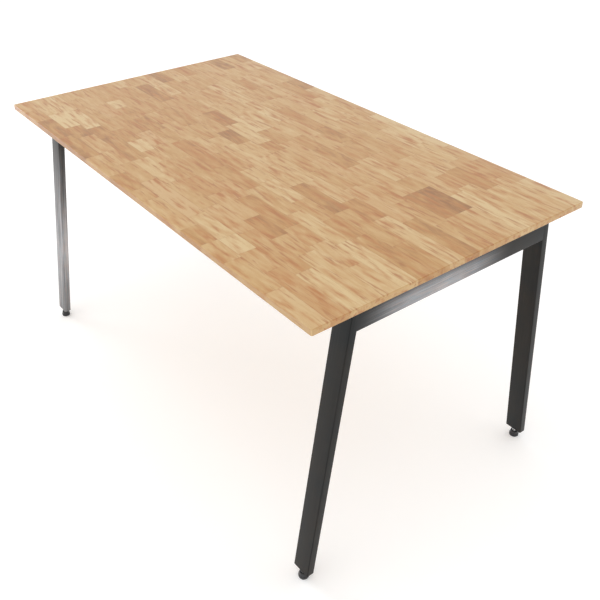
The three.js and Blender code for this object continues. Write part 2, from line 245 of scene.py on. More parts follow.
def make_wood():
    wood = Finish("butcher_block", {"Coat Roughness": 0.28, "IOR": 1.45})
    tone, warmth, seed = wood.split(wood.stored("block_look"))
    heart_y, heart_z, lean = wood.split(wood.stored("block_heart"))
    length, width, is_end = wood.split(wood.stored("block_size"))
    along, across, _ = wood.split(wood.stored("in_block"))
    x, y, z = wood.split(wood.place())

    def along_grain(pattern):
        """Noise pulled out along the grain. The seed moves it, so every block differs."""
        lengthwise, crosswise, shift, detail = pattern
        where = wood.join(x * lengthwise + seed * shift, y * crosswise, z * crosswise)
        return wood.noise(where, detail=detail)

    drift = along_grain(DRIFT)
    from_heart = ((y - heart_y) ** 2.0 + (z - heart_z) ** 2.0) ** 0.5
    ring_distance = from_heart + x * lean + drift * RING_WANDER
    ring_place = wood.join(ring_distance * RINGS_PER_METRE, seed * RING_SHIFT, 0.0)
    rings = wood.noise(ring_place, detail=RING_DETAIL)
    figure, stain = along_grain(FIGURE), along_grain(STAIN)
    streak, fibre = along_grain(STREAK), along_grain(FIBRE)
    pores = along_grain(PORE) > PORE_LEVEL

    # Noise runs from 0 to 1, so taking 0.5 off lets it darken as well as lighten.
    shade = (tone + (rings - 0.5) * RING_DEPTH + (figure - 0.5) * FIGURE_DEPTH
             + (fibre - 0.5) * FIBRE_DEPTH)
    plain = wood.node("ShaderNodeValToRGB", {"stops": TONE_COLOURS}, {0: shade})
    redness = warmth * WARMTH_SHARE + wood.spread(stain, *STAIN_RANGE) * STAIN_SHARE
    colour = wood.blend(redness, plain, WOOD_RED)
    streaked = wood.spread(streak, *STREAK_RANGE) * STREAK_SHARE
    colour = wood.blend(streaked, colour, STREAK_BROWN)
    stain_core = wood.spread(stain, *STAIN_CORE_RANGE) * STAIN_CORE_SHARE
    colour = wood.blend(stain_core, colour, STREAK_BROWN)
    colour = wood.blend(pores * PORE_SHARE, colour, WOOD_DARK)
    colour = wood.blend(is_end * END_GRAIN_SHARE, colour, END_GRAIN_TINT, "MULTIPLY")

    lesser = {"operation": "MINIMUM"}
    to_end = wood.node("ShaderNodeMath", lesser, {0: along, 1: length - along})
    to_side = wood.node("ShaderNodeMath", lesser, {0: across, 1: width - across})
    to_glue = wood.node("ShaderNodeMath", lesser, {0: to_end, 1: to_side})
    glue = (to_glue < GLUE_HALF_WIDTH) * (1.0 - is_end)
    colour = wood.blend(glue * GLUE_SHARE, colour, GLUE_TINT, "MULTIPLY")

    # Here and in the other finishes, a number beside a pattern says how much it counts.
    wood.surface("Base Color", colour)
    wood.surface("Roughness", fibre * 0.12 + pores * 0.10 + SATIN_ROUGHNESS)
    wood.surface("Coat Weight", LACQUER - pores * LACQUER_LOST_IN_PORES)
    wood.relief(fibre * 0.5 + rings * 0.35 - pores * 0.6 - glue * 0.9, *GRAIN_RELIEF)
    return wood


wood = make_wood()
print("wood nodes", len(wood.tree.nodes))

# %% [markdown]
# The frame is bare mild steel under a very thin clear coat. Raw steel is dark, brushed along
# the length of each tube, and faintly blue or brown in patches. The brush lines follow the
# tube and not the room, so they read a place stored on the mesh: along the tube, then across
# its wide and its narrow side. The end rails are bright in the middle and one front leg is
# bright low down. That brightness is a painted highlight: the studio light's reflection painted
# into the steel's colour as pale clean metal. It could be painted by hand, but a patch that fades
# along one axis does it with a few numbers, so those pieces get the same finish with such a patch.
# Painted shade dims it high on the rail, under the wood's overhang, and the painted highlight
# is striped along the tube, strongly on the leg and faintly on the rails.

# %% The steel
STEEL_BLUE = (0.0240, 0.0252, 0.0256)
STEEL_WARM = (0.0290, 0.0265, 0.0240)
# Colours of the painted highlight, bluish and rosy.
PAINTED_HIGHLIGHT_BLUE = (0.44, 0.47, 0.50)
PAINTED_HIGHLIGHT_ROSY = (0.53, 0.48, 0.47)
# The band over which the painted shade under the wood's overhang fades out.
PAINTED_SHADE_BAND = 13 * MM
# How fast each mark changes along the tube and across it, in cycles a metre.
BRUSH, SCUFF, STRIPE = (7.0, 1500.0), (26.0, 320.0), (5.0, 130.0)
CLOUDS_PER_METRE = 8.5
# Where in its noise each mark starts and where it is full.
CLOUD_RANGE, SCUFF_RANGE, STRIPE_RANGE = (0.34, 0.66), (0.38, 0.62), (0.30, 0.70)
# Brush lines run from the darker to the lighter of these shares of the steel's colour.
BRUSH_RANGE, BRUSH_SHADES = (0.30, 0.70), (0.78, 1.22)
# What is left of the painted highlight's brightness in the painted shade right under the wood.
HIGHLIGHT_IN_PAINTED_SHADE = 0.34
# How bright the painted highlight is at least, and how much its clouds and its brush lines add.
CLOUD_FLOOR, CLOUD_GAIN = 0.34, 0.70
BRUSH_FLOOR, BRUSH_GAIN = 0.42, 1.1
STEEL_ROUGHNESS = 0.27
CLEAR_COAT, CLOUD_COAT = 0.04, 0.05
BRUSH_RELIEF = (0.025 * MM, 0.5)
top_low, top_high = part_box("stave_01")
overhang = top_high.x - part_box("right_end_rail")[1].x
# Painted shade: it is full over about the overhang's own width of the rail,
# and it fades out over a band below that.
painted_shade_z = top_low.z - overhang


def make_steel(name, axis=None, middle=0.0, core=0.0, fade=1.0, stripes=0.0):
    """Dark steel. With an axis, a painted highlight makes it bright within core of the middle,
    dark beyond fade.
    """
    steel = Finish(name, {"Metallic": 1.0, "Coat Roughness": 0.3})
    along, wide, narrow = steel.split(steel.stored("tube_place"))

    def along_tube(mark, detail):
        lengthwise, crosswise = mark
        where = steel.join(along * lengthwise, wide * crosswise, narrow * crosswise)
        return steel.noise(where, detail=detail)

    brush, scuff = along_tube(BRUSH, 3.0), along_tube(SCUFF, 2.0)
    patch = steel.noise(steel.place(), scale=CLOUDS_PER_METRE, detail=3.0, roughness=0.6)
    cloud = steel.spread(patch, *CLOUD_RANGE)
    colour = steel.blend(cloud, STEEL_BLUE, STEEL_WARM)
    if axis:
        spot = steel.split(steel.place())
        away = steel.node("ShaderNodeMath", {"operation": "ABSOLUTE"},
                          {0: spot["XYZ".index(axis)] - middle})
        shine = steel.node("ShaderNodeMapRange", {"interpolation_type": "SMOOTHSTEP"},
                           {0: away, 1: fade, 2: core, 3: 0.0, 4: 1.0})
        # Painted shade under the wood's overhang dims the painted highlight high on the rail.
        clear_of_painted_shade = steel.spread(spot[2], painted_shade_z, painted_shade_z - PAINTED_SHADE_BAND)
        stripe = steel.spread(along_tube(STRIPE, 2.0), *STRIPE_RANGE)
        shine = (shine * (clear_of_painted_shade * (1 - HIGHLIGHT_IN_PAINTED_SHADE) + HIGHLIGHT_IN_PAINTED_SHADE)
                 * (patch * CLOUD_GAIN + CLOUD_FLOOR))
        # The painted highlight is striped along the tube.
        shine = shine * ((stripe - 0.5) * stripes + 1.0)
        # The painted highlight is laid into the steel's colour, bluish or rosy by the scuffs.
        bright = steel.blend(steel.spread(scuff, *SCUFF_RANGE), PAINTED_HIGHLIGHT_BLUE, PAINTED_HIGHLIGHT_ROSY)
        colour = steel.blend(shine * (brush * BRUSH_GAIN + BRUSH_FLOOR), colour, bright)
    (low, high), (darker, lighter) = BRUSH_RANGE, BRUSH_SHADES
    streak = steel.node("ShaderNodeMapRange", None,
                        {0: brush, 1: low, 2: high, 3: darker, 4: lighter})
    lines = steel.node("ShaderNodeCombineColor", None, {0: streak, 1: streak, 2: streak})
    steel.surface("Base Color", steel.blend(1.0, colour, lines, "MULTIPLY"))
    steel.surface("Roughness", brush * 0.14 + scuff * 0.08 + cloud * 0.05 + STEEL_ROUGHNESS)
    steel.surface("Coat Weight", CLEAR_COAT + cloud * CLOUD_COAT)
    steel.relief(brush * 0.6 + scuff * 0.4, *BRUSH_RELIEF)
    return steel


steel = make_steel("dark_steel")
# The end rails and the left front leg get a painted highlight, a patch along one axis.
rail_steel = make_steel("painted_highlight_rail_steel", "Y", middle=-0.060, core=0.055, fade=0.235,
                        stripes=0.2)
leg_steel = make_steel("painted_highlight_leg_steel", "Z", middle=0.24, fade=0.44, stripes=0.8)
print("overhang", round(overhang, 4))
print("steel nodes", len(steel.tree.nodes), "painted_highlight", len(rail_steel.tree.nodes))

# %% [markdown]
# Bolts, screws and foot studs are bought in and plated with zinc, which has small cloudy
# flakes. Noise alone has no borders, so the cells of a Voronoi texture make the flakes, and
# noise clouds them. The foot pads are moulded black nylon, whose skin has a very fine even
# grain and is greyer low down, where it drags on the floor.

# %% Zinc and plastic
ZINC_BRIGHT = (0.66, 0.67, 0.69)
ZINC_DULL = (0.50, 0.50, 0.50)
PLASTIC_BLACK = (0.020, 0.020, 0.022)
PLASTIC_SCUFFED = (0.060, 0.059, 0.058)
ZINC_ROUGHNESS, PLASTIC_ROUGHNESS = 0.24, 0.20
ZINC_RELIEF, PLASTIC_RELIEF = (0.02 * MM, 0.4), (0.04 * MM, 0.5)
SCUFFED_HEIGHT = 4.0 * MM


def make_zinc():
    zinc = Finish("zinc_steel", {"Metallic": 1.0})
    flakes = zinc.node("ShaderNodeTexVoronoi", None, {"Vector": zinc.place(), "Scale": 900.0})
    cloud = zinc.noise(zinc.place(), scale=260.0, detail=3.0)
    mottle = flakes * 0.5 + cloud * 0.6
    zinc.surface("Base Color", zinc.blend(mottle, ZINC_BRIGHT, ZINC_DULL))
    zinc.surface("Roughness", mottle * 0.18 + ZINC_ROUGHNESS)
    zinc.relief(cloud, *ZINC_RELIEF)
    return zinc


def make_plastic():
    plastic = Finish("black_plastic", {"IOR": 1.5})
    grain = plastic.noise(plastic.place(), scale=2600.0, detail=2.0)
    _, _, z = plastic.split(plastic.place())
    low_down = plastic.spread(z, SCUFFED_HEIGHT, 0.0)
    worn = low_down * plastic.noise(plastic.place(), scale=420.0, detail=3.0)
    plastic.surface("Base Color", plastic.blend(worn, PLASTIC_BLACK, PLASTIC_SCUFFED))
    plastic.surface("Roughness", grain * 0.14 + worn * 0.20 + PLASTIC_ROUGHNESS)
    plastic.relief(grain, *PLASTIC_RELIEF)
    return plastic


zinc, plastic = make_zinc(), make_plastic()
print("zinc nodes", len(zinc.tree.nodes), "plastic nodes", len(plastic.tree.nodes))

# %% [markdown]
# Every finished mesh becomes a piece in the same way: faces turned outward, soft shading with
# crisp corners, one finish, and a ride on the body that it belongs to. That could be set for
# each piece by hand, but one function can't forget a step. A piece then stands in for the
# plain CAD node that held its place. Only the welds have no such node.

# %% From mesh to piece
def make_piece(shape, name, finish, body="table", node=None):
    bmesh.ops.recalc_face_normals(shape, faces=shape.faces)
    mesh = bpy.data.meshes.new(name)
    shape.to_mesh(mesh)
    shape.free()
    mesh.shade_smooth()
    mesh.set_sharp_from_angle(angle=SHARP_ANGLE)
    mesh.materials.append(finish.material)
    piece = bpy.data.objects.new(name, mesh)
    bpy.context.scene.collection.objects.link(piece)
    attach(piece, body)
    if node:
        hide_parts(node)
    return piece


def skin(shape, rings):
    """Quads between neighbouring rings of points. Returns the faces, one list for each gap."""
    bands = []
    for first, second in zip(rings, rings[1:]):
        corners = [(i, (i + 1) % len(first)) for i in range(len(first))]
        bands.append([shape.faces.new((first[i], first[j], second[j], second[i]))
                      for i, j in corners])
    return bands


print("piece maker ready")

# %% [markdown]
# The top is eighteen staves, each a row of short blocks finger-jointed end to end. On the
# upper face a joint is a straight line, and on the long edge its fingers show as a zigzag.
# Every block could be a mesh of its own, but then each joint would hide two inner walls. So a
# stave is lofted from rings of points, one ring for each joint, with points shifted along the
# grain by their height to cut the fingers. Points near an outer edge are drawn in for the
# eased arris, and the last rings turn round the top's corners. Each face carries its block's
# own numbers, so the colour changes exactly on the joint.

# %% The staves
ARRIS = 1.5 * MM
TOP_CORNER = 4 * MM
ROUND_STEPS = 4
FINGER_PITCH = 4 * MM
FINGER_REACH = 9 * MM
SHORTEST_BLOCK, USUAL_BLOCK, LONGEST_BLOCK = 0.060, 0.090, 0.225
FIRST_STAVE_SEED = 700
# A block's tone and warmth are drawn round a middle, and tone is kept between two limits.
TONE_MIDDLE, TONE_SPREAD, TONE_LIMITS = 0.58, 0.21, (0.08, 0.98)
WARMTH_MIDDLE, WARMTH_SPREAD = 0.10, 0.42
# How far a tree's heart may lie to the side of a block and below it, and how much it leans.
HEART_ASIDE, HEART_BELOW, HEART_LEAN = 0.09, (0.01, 0.12), 0.10
stave_nodes = sorted(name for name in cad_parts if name.startswith("stave_"))
long_edge = max(abs(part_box(name)[side].y) for name in stave_nodes for side in (0, 1))


def joint_places(draw, half):
    """Where one block of a stave ends and the next begins, from end to end of the top."""
    places = [-half]
    while half - places[-1] > LONGEST_BLOCK + SHORTEST_BLOCK:
        places.append(places[-1] + draw.triangular(SHORTEST_BLOCK, LONGEST_BLOCK, USUAL_BLOCK))
    if half - places[-1] > LONGEST_BLOCK:
        places.append((places[-1] + half) / 2)
    return places + [half]


def stave_levels(low_z, high_z):
    """Heights up a stave's side, each with how far its arris is drawn in."""
    bend = [(ARRIS * (1 - math.cos(t * QUARTER)), ARRIS * (1 - math.sin(t * QUARTER)))
            for t in steps(ROUND_STEPS)]
    flat = high_z - low_z - 2 * ARRIS
    count = round(flat / (FINGER_PITCH / 2))
    middle = [(low_z + ARRIS + t * flat, 0.0) for t in steps(count)][1:-1]
    below = [(low_z + rise, inset) for rise, inset in bend]
    above = [(high_z - rise, inset) for rise, inset in reversed(bend)]
    return below + middle + above


def finger(z):
    """How far the joint's zigzag is pushed along the grain at a height."""
    phase = ((z - top_low.z - ARRIS) / FINGER_PITCH) % 1
    return FINGER_REACH * (abs(2 * phase - 1) - 0.5)


def edge_y(y, inset, turn=0.0):
    """A side of a stave: straight on a glue joint, drawn in and turned on the top's long edge."""
    if abs(abs(y) - long_edge) > ARRIS:
        return y
    return math.copysign(long_edge - TOP_CORNER + (TOP_CORNER - inset) * math.cos(turn), y)


def stave_rings(joints, low, high):
    levels = stave_levels(low.z, high.z)
    columns = [(low.y, levels), (high.y, list(reversed(levels)))]
    half = high.x
    turns = [t * QUARTER for t in steps(ROUND_STEPS)]

    def end_ring(sign, turn):
        return [(sign * (half - TOP_CORNER + (TOP_CORNER - inset) * math.sin(turn)),
                 edge_y(y, inset, turn), z) for y, column in columns for z, inset in column]

    rings = [end_ring(-1, turn) for turn in reversed(turns)]
    for x in joints[1:-1]:
        rings.append([(x + finger(z), edge_y(y, inset), z)
                      for y, column in columns for z, inset in column])
    return rings + [end_ring(1, turn) for turn in turns]


def block_numbers(draw, low, high):
    """One block's colour, and where it lay in its tree."""
    darkest, palest = TONE_LIMITS
    tone = min(max(draw.gauss(TONE_MIDDLE, TONE_SPREAD), darkest), palest)
    warmth = max(draw.gauss(WARMTH_MIDDLE, WARMTH_SPREAD), 0.0)
    heart_y = (low.y + high.y) / 2 + draw.uniform(-HEART_ASIDE, HEART_ASIDE)
    heart_z = low.z - draw.uniform(*HEART_BELOW)
    return {"look": (tone, min(warmth, 1.0), draw.random()),
            "heart": (heart_y, heart_z, draw.uniform(-HEART_LEAN, HEART_LEAN))}


def make_stave(index, node):
    draw = random.Random(FIRST_STAVE_SEED + index)
    low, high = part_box(node)
    joints = joint_places(draw, high.x)
    blocks = [block_numbers(draw, low, high) for _ in joints[1:]]
    shape = bmesh.new()
    look, heart, size = (shape.faces.layers.float_vector.new(name)
                         for name in ("block_look", "block_heart", "block_size"))
    inside = shape.loops.layers.float_vector.new("in_block")
    rings = [[shape.verts.new(point) for point in ring]
             for ring in stave_rings(joints, low, high)]

    def mark(face, block, is_end):
        start, stop = joints[block], joints[block + 1]
        face[look], face[heart] = blocks[block]["look"], blocks[block]["heart"]
        face[size] = (stop - start, high.y - low.y, is_end)
        for loop in face.loops:
            spot = loop.vert.co
            bend = finger(spot.z) if abs(spot.x) < high.x - TOP_CORNER - MM else 0.0
            loop[inside] = (spot.x - bend - start, spot.y - low.y, 0.0)

    for gap, band in enumerate(skin(shape, rings)):
        block = min(max(gap - ROUND_STEPS, 0), len(blocks) - 1)
        for face in band:
            mark(face, block, 0.0)
    for ring, block in ((rings[0], 0), (rings[-1], len(blocks) - 1)):
        count = len(ring)
        for i in range(count // 2 - 1):
            face = shape.faces.new((ring[i], ring[i + 1],
                                    ring[count - 2 - i], ring[count - 1 - i]))
            mark(face, block, 1.0)
    make_piece(shape, f"wood_{node}", wood, node=node)
    return len(blocks)


block_counts = [make_stave(index, node) for index, node in enumerate(stave_nodes)]
print("staves", len(block_counts), "blocks", sum(block_counts))

# %% [markdown]
# The legs and rails are all one stock: 50 by 20 mm flat tube with rolled corners and a hollow
# inside. A tube is drawn as its outline carried along a line, and each of its two ends is cut
# by a plane. A Boolean could make the cut, but it leaves odd faces to clean up. Here every
# point slides along the line until it meets the plane, so a sloping or level cut comes out
# exact, and the wall's thickness shows wherever an end is open.

# %% Tube
TUBE_WALL = 2 * MM
TUBE_RADIUS = 2.5 * MM
TUBE_INNER_RADIUS = 0.7 * MM
CORNER_STEPS = 6


def rounded_rectangle(width, height, radius):
    w, h = width / 2 - radius, height / 2 - radius
    corners = ((w, -h), (w, h), (-w, h), (-w, -h))
    return [(x + radius * math.cos((quarter - 1 + t) * QUARTER),
             y + radius * math.sin((quarter - 1 + t) * QUARTER))
            for quarter, (x, y) in enumerate(corners) for t in steps(CORNER_STEPS)]


def make_tube(name, node, finish, centre, line, wide_way, size, cuts):
    """A hollow tube. cuts holds two (point, normal) planes, where the tube begins and ends."""
    line, wide_way = line.normalized(), wide_way.normalized()
    narrow_way = line.cross(wide_way)
    wide, narrow = size
    hollow_wide, hollow_narrow = wide - 2 * TUBE_WALL, narrow - 2 * TUBE_WALL
    outlines = [rounded_rectangle(wide, narrow, TUBE_RADIUS),
                rounded_rectangle(hollow_wide, hollow_narrow, TUBE_INNER_RADIUS)]
    shape = bmesh.new()
    stored = shape.verts.layers.float_vector.new("tube_place")

    def ring(outline, cut):
        point, normal = cut
        made = []
        for u, v in outline:
            base = centre + wide_way * u + narrow_way * v
            reach = (point - base).dot(normal) / line.dot(normal)
            vert = shape.verts.new(base + line * reach)
            vert[stored] = (reach, u, v)
            made.append(vert)
        return made

    outer = [ring(outlines[0], cut) for cut in cuts]
    inner = [ring(outlines[1], cut) for cut in cuts]
    skin(shape, [outer[0], outer[1], inner[1], inner[0], outer[0]])
    return make_piece(shape, name, finish, node=node)


print("tube wall", round(TUBE_WALL / MM, 2), "mm, corner points", 4 * (CORNER_STEPS + 1))

# %% [markdown]
# The legs splay outward and are sawn level, top and bottom. Their angle could be typed in, but
# it is already in the frame: a leg's box is as wide as the tube's sloping thickness plus the
# distance that it leans. Solving that for the angle keeps the leg exactly inside its box.

# %% Legs
rail_low, rail_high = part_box("right_end_rail")
TUBE_THIN = rail_high.x - rail_low.x
TUBE_DEEP = rail_high.z - rail_low.z
leg_low, leg_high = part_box("right_back_leg")
leg_rise = leg_high.z - leg_low.z
leg_spread = leg_high.y - leg_low.y
leg_diagonal = math.hypot(leg_spread, leg_rise)
splay = math.acos(TUBE_THIN / leg_diagonal) - math.atan2(leg_rise, leg_spread)
thin_level = TUBE_THIN / math.cos(splay)
leg_middle_x = (leg_low.x + leg_high.x) / 2
leg_top_y = leg_low.y + thin_level / 2
leg_bottom_y = leg_high.y - thin_level / 2
up = Vector((0, 0, 1))


def leg_ends(end_sign, side_sign):
    """The middle of a leg's foot and of its top."""
    x = end_sign * leg_middle_x
    return (Vector((x, side_sign * leg_bottom_y, leg_low.z)),
            Vector((x, side_sign * leg_top_y, leg_high.z)))


for end, end_sign, side, side_sign in CORNERS:
    foot, head = leg_ends(end_sign, side_sign)
    node = f"{end}_{side}_leg"
    # The left front leg's steel carries a painted highlight, brightest low on the leg.
    finish = leg_steel if (end, side) == ("left", "front") else steel
    make_tube(f"steel_{node}", node, finish, foot, head - foot, Vector((1, 0, 0)),
              (TUBE_DEEP, TUBE_THIN), [(foot, up), (head, up)])
print("splay", round(math.degrees(splay), 2), "degrees")

# %% [markdown]
# Each end rail fits between two legs and is welded to them, and the outer joint is ground
# flush. The leg's rolled corner would leave a groove there. It could be filled with a piece of
# its own, but it is simpler to run the rail on into it by nearly the corner's radius. The long
# rails run square between their end plates, so their cuts are plain.

# %% Rails
GROUND_FLUSH = 2.4 * MM
for end, end_sign in ENDS:
    node = f"{end}_end_rail"
    low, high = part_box(node)
    middle = (low + high) / 2
    cuts = []
    for _, side_sign in SIDES:
        foot, head = leg_ends(end_sign, side_sign)
        outward = (head - foot).cross(Vector((1, 0, 0))).normalized()
        outward = outward if outward.y * side_sign > 0 else -outward
        cuts.append((foot + outward * (GROUND_FLUSH - TUBE_THIN / 2), outward))
    make_tube(f"steel_{node}", node, rail_steel, middle, Vector((0, 1, 0)), up,
              (TUBE_DEEP, TUBE_THIN), cuts)

along_x = Vector((1, 0, 0))
for side, _ in SIDES:
    node = f"{side}_long_rail"
    low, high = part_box(node)
    middle = (low + high) / 2
    make_tube(f"steel_{node}", node, steel, middle, along_x, up, (TUBE_DEEP, TUBE_THIN),
              [(low, along_x), (high, along_x)])
print("rail section", round(TUBE_DEEP, 4), "by", round(TUBE_THIN, 4))

# %% [markdown]
# Flat parts are cut from bar and drilled: the end plates, their lips and the middle tabs. A
# filled 2D curve is the quickest way to a drilled plate, because each hole is one more circle
# inside the outline, and the curve's own bevel breaks the sharp edge all round.

# %% Plates with holes
PLATE_EDGE = 0.5 * MM
PLATE_CORNER = 2 * MM
BOLT_HOLE_RADIUS = 4.6 * MM
SCREW_HOLE_RADIUS = 2.9 * MM
HOLE_POINTS = 32


def circle(x, y, radius):
    turn = 2 * math.pi / HOLE_POINTS
    return [(x + radius * math.cos(i * turn), y + radius * math.sin(i * turn))
            for i in range(HOLE_POINTS)]


def drilled_plate(outline, holes, thickness):
    """A plate lying in XY round Z = 0, as a bmesh."""
    curve = bpy.data.curves.new("plate_outline", "CURVE")
    curve.dimensions, curve.fill_mode = "2D", "BOTH"
    curve.extrude = thickness / 2 - PLATE_EDGE
    curve.bevel_depth, curve.bevel_resolution, curve.offset = PLATE_EDGE, 1, -PLATE_EDGE
    for loop in [outline, *holes]:
        spline = curve.splines.new("POLY")
        spline.points.add(len(loop) - 1)
        for point, (x, y) in zip(spline.points, loop):
            point.co = (x, y, 0, 1)
        spline.use_cyclic_u = True
    holder = bpy.data.objects.new("plate_outline", curve)
    bpy.context.scene.collection.objects.link(holder)
    finished = holder.evaluated_get(bpy.context.evaluated_depsgraph_get())
    made = bpy.data.meshes.new_from_object(finished)
    bpy.data.objects.remove(holder)
    shape = bmesh.new()
    shape.from_mesh(made)
    bmesh.ops.remove_doubles(shape, verts=shape.verts, dist=0.01 * MM)
    bpy.data.meshes.remove(made)
    return shape


def mark_bar(shape):
    """Gives bar stock the same brushed direction as a tube, along X."""
    stored = shape.verts.layers.float_vector.new("tube_place")
    for vert in shape.verts:
        vert[stored] = vert.co


def make_bar_piece(shape, node):
    mark_bar(shape)
    make_piece(shape, f"steel_{node}", steel, node=node)


def shifted(loop, x, y):
    return [(px + x, py + y) for px, py in loop]


def join_shapes(first, second):
    spare = bpy.data.meshes.new("spare")
    second.to_mesh(spare)
    second.free()
    first.from_mesh(spare)
    bpy.data.meshes.remove(spare)
    return first


def flat_bar(x0, x1, y0, y1, z0, z1, holes):
    """A drilled bar lying level, given by its two corners and its holes' middles."""
    outline = shifted(rounded_rectangle(x1 - x0, y1 - y0, PLATE_CORNER),
                      (x0 + x1) / 2, (y0 + y1) / 2)
    bar = drilled_plate(outline, [circle(x, y, SCREW_HOLE_RADIUS) for x, y in holes], z1 - z0)
    bmesh.ops.translate(bar, verts=bar.verts, vec=(0, 0, (z0 + z1) / 2))
    return bar


def node_middle(node):
    low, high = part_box(node)
    return (low + high) / 2


print("plate maker ready")

# %% [markdown]
# An end plate stands on the end rail's inner face and takes two bolts. Its lip reaches out
# level under the wood, and a screw goes up through it. The two could be folded from one strip
# of faces, but joining two drilled plates in one mesh keeps every hole round. The middle tabs
# are short lips welded to the long rails, which hold the wood down where the span is longest.

# %% End plates and tabs
LIP_ROOT = 1 * MM
LIP_CLEARANCE = 0.3 * MM
for end, end_sign, side, side_sign in CORNERS:
    node = f"{end}_{side}_end_plate"
    low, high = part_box(node)
    bolts = [node_middle(f"{end}_{side}_{spot}_bolt") for spot in ("inner", "outer")]
    screw = node_middle(f"{end}_{side}_screw")
    rail_end = abs(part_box(f"{side}_long_rail")[1].x)
    rail_y0, rail_y1 = (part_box(f"{side}_long_rail")[i].y for i in (0, 1))
    plate_x = (rail_end + rail_low.x) / 2
    outline = shifted(rounded_rectangle(high.z - low.z, high.y - low.y, PLATE_CORNER),
                      -(low.z + high.z) / 2, (low.y + high.y) / 2)
    holes = [circle(-bolt.z, bolt.y, BOLT_HOLE_RADIUS) for bolt in bolts]
    plate = drilled_plate(outline, holes, rail_low.x - rail_end)
    plate.transform(Matrix.Translation((end_sign * plate_x, 0, 0))
                    @ Matrix.Rotation(QUARTER, 4, "Y"))
    lip_x = sorted((end_sign * (rail_end + LIP_ROOT), low.x if end_sign > 0 else high.x))
    inner_y = low.y if side_sign > 0 else high.y
    rail_y = rail_y0 if side_sign > 0 else rail_y1
    lip_y = sorted((inner_y, rail_y - side_sign * LIP_CLEARANCE))
    lip_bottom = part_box(f"{side}_middle_tab")[0].z
    lip = flat_bar(*lip_x, *lip_y, lip_bottom, high.z, [(screw.x, screw.y)])
    make_bar_piece(join_shapes(plate, lip), node)

for side, _ in SIDES:
    node = f"{side}_middle_tab"
    low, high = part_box(node)
    screw = node_middle(f"middle_{side}_screw")
    tab = flat_bar(low.x, high.x, low.y, high.y, low.z, high.z, [(screw.x, screw.y)])
    make_bar_piece(tab, node)
print("plates and tabs done")

# %% [markdown]
# A weld is a row of overlapping puddles. They could be sculpted, but a thin rod laid along the
# joint, whose thickness rises and falls once for each puddle, looks right from close by. Its
# middle lies on the line where two faces meet, so part of it is sunk in each. Beads go where
# they weren't ground away: on the inner side and underside of each end frame's joints, round
# three sides of the long rails' ends, and along the lower edge of each tab.

# %% Weld beads
BEAD_RADIUS = 1.7 * MM
PUDDLE = 2.6 * MM
BEAD_SIDES = 10
BEAD_STEPS_PER_PUDDLE = 5
# A bead is thinnest at its ends, and between puddles, as shares of its full thickness.
BEAD_END, BEAD_END_SLOPE = 0.45, 12
PUDDLE_GAP, PUDDLE_SWELL = 0.84, 0.16
BEAD_WANDER, WANDER_WAVES, WANDER_SHIFT = 0.22 * MM, 17, 6
BEAD_STOP, TAB_BEAD_STOP = 2 * MM, 1 * MM
CORNER_SEED, PLATE_SEED, TAB_SEED = 31, 41, 53


def add_bead(shape, stored, start, stop, draw):
    line = (stop - start).normalized()
    length = (stop - start).length
    across = line.orthogonal().normalized()
    other = line.cross(across)
    count = max(4, round(length / PUDDLE)) * BEAD_STEPS_PER_PUDDLE
    wander = draw.random()
    rings = []
    for t in steps(count):
        puddle = (t * count / BEAD_STEPS_PER_PUDDLE) % 1
        taper = min(1.0, BEAD_END + BEAD_END_SLOPE * min(t, 1 - t))
        radius = BEAD_RADIUS * taper * (PUDDLE_GAP + PUDDLE_SWELL * math.sin(puddle * math.pi))
        drift = BEAD_WANDER * math.sin(WANDER_WAVES * t + WANDER_SHIFT * wander)
        ring = []
        for i in range(BEAD_SIDES):
            angle = 2 * math.pi * i / BEAD_SIDES
            point = start + line * (length * t) + across * (radius * math.cos(angle) + drift)
            vert = shape.verts.new(point + other * (radius * math.sin(angle)))
            vert[stored] = (length * t, radius * math.cos(angle), radius * math.sin(angle))
            ring.append(vert)
        rings.append(ring)
    skin(shape, rings)
    shape.faces.new(rings[0])
    shape.faces.new(rings[-1])


def make_weld(name, lines, seed):
    draw = random.Random(seed)
    shape = bmesh.new()
    stored = shape.verts.layers.float_vector.new("tube_place")
    for start, stop in lines:
        add_bead(shape, stored, Vector(start), Vector(stop), draw)
    return make_piece(shape, name, steel)


def leg_inner_y(z):
    """How far from the middle the leg's inner face is, at a height."""
    return leg_low.y + (leg_high.z - z) * math.tan(splay)


top_z, bottom_z = rail_high.z - BEAD_STOP, rail_low.z
for index, (end, end_sign) in enumerate(ENDS):
    for side, side_sign in SIDES:
        x_in, x_out = end_sign * rail_low.x, end_sign * (rail_high.x - BEAD_STOP)
        y_low, y_high = side_sign * leg_inner_y(bottom_z), side_sign * leg_inner_y(top_z)
        make_weld(f"weld_{end}_{side}_corner",
                  [((x_in, y_low, bottom_z), (x_in, y_high, top_z)),
                   ((x_in, y_low, bottom_z), (x_out, y_low, bottom_z))], CORNER_SEED + index)
        rail_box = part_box(f"{side}_long_rail")
        x = end_sign * rail_box[1].x
        y0, y1 = rail_box[0].y, rail_box[1].y
        make_weld(f"weld_{end}_{side}_plate",
                  [((x, y0, bottom_z), (x, y0, lip_bottom)), ((x, y1, bottom_z), (x, y1, top_z)),
                   ((x, y0, bottom_z), (x, y1, bottom_z))], PLATE_SEED + index)

for side, side_sign in SIDES:
    tab_low, tab_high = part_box(f"{side}_middle_tab")
    y = tab_high.y if side_sign > 0 else tab_low.y
    make_weld(f"weld_{side}_tab", [((tab_low.x + TAB_BEAD_STOP, y, tab_low.z),
                                    (tab_high.x - TAB_BEAD_STOP, y, tab_low.z))], TAB_SEED)
print("welds done")

# %% [markdown]
# Bolts, screws, studs and pads are all turned, so one maker spins a profile round an axis. A
# Screw modifier could spin it too, but this one can bend each point as it goes round, and that
# covers the rest: a hexagon is a circle cut by six flats, a thread is a groove that climbs
# with the angle, and the cross in a screw's head is a dip where a point lies near either of
# two lines.

